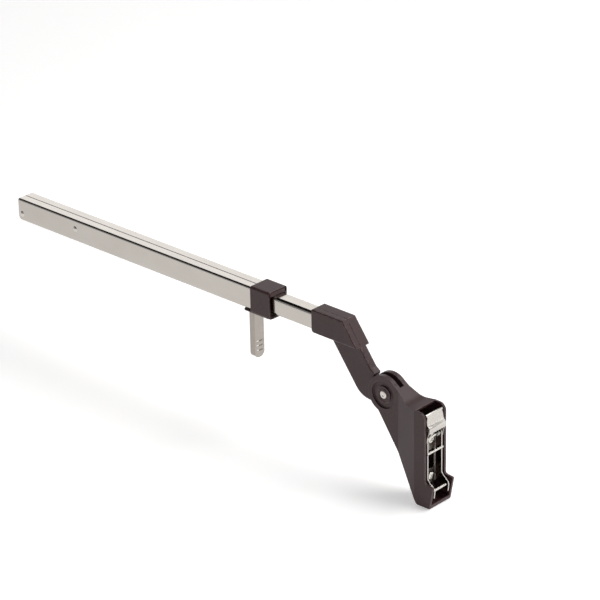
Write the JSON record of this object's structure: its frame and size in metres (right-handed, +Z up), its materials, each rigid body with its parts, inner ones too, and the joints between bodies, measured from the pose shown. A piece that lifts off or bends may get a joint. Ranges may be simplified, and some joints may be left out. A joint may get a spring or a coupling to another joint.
{
  "type": "telescopic clip-on bracket arm",
  "caption": "Telescopic steel bracket arm with a sliding collar lock, a cranked moulded elbow and a pivoting clip foot that hooks onto a mounting rail.",
  "frame": {"origin": "middle of the clip foot's forward-facing mounting plane, on the symmetry plane", "axes": "+X out of the mounting plane, away from the rails; +Y across the width; +Z up, the rails run level along -X"},
  "size_m": [0.4791, 0.026, 0.1341],
  "materials": {
    "nickel_steel": "bright drawn and plated, glossy",
    "bright_steel": "zinc plated, bright",
    "brown_plastic": "fine-grained moulded nylon, satin",
    "black_plastic": "moulded, satin"
  },
  "bodies": {
    "foot": {"foot_housing": "brown_plastic", "pivot_bolt": "bright_steel", "pivot_nut": "bright_steel", "clip_chassis": "nickel_steel", "mid_bar": "bright_steel", "hook_bar": "bright_steel", "latch_pin": "bright_steel", "chassis_screws": "bright_steel", "latch_spring": "bright_steel"},
    "latch": {"clip_latch": "nickel_steel"},
    "arm": {"elbow_near_shell": "brown_plastic", "elbow_far_shell": "brown_plastic", "arm_core": "bright_steel", "shell_screws": "bright_steel", "rail_cross_pin": "bright_steel", "inner_rail": "nickel_steel", "rail_glide": "black_plastic"},
    "rail": {"outer_rail": "nickel_steel", "rail_rivets": "bright_steel", "rail_end_plug": "black_plastic", "travel_stop": "black_plastic", "collar_housing": "brown_plastic", "lever_pin": "bright_steel", "brake_shoe": "bright_steel"},
    "lever": {"release_lever": "nickel_steel"}
  },
  "joints": [
    {"name": "foot_pivot", "type": "hinge", "parent": "foot", "child": "arm", "pos_m": [-0.0485, 0, 0.0327], "axis": [0, 1, 0], "range_deg": [-6, 70]},
    {"name": "rail_slide", "type": "slide", "parent": "arm", "child": "rail", "axis": [1, 0, 0], "range_m": [-0.12, 0.042]},
    {"name": "lever_hinge", "type": "hinge", "parent": "rail", "child": "lever", "pos_m": [-0.1923, 0, 0.0611], "axis": [0, 1, 0], "range_deg": [0, 35], "stiffness_Nm_per_rad": 0.06, "springref_deg": -11.46},
    {"name": "latch_hinge", "type": "hinge", "parent": "foot", "child": "latch", "pos_m": [-0.003, 0, 0.0096], "axis": [0, 1, 0], "range_deg": [-12, 0], "stiffness_Nm_per_rad": 0.05, "springref_deg": 11.46}
  ]
}
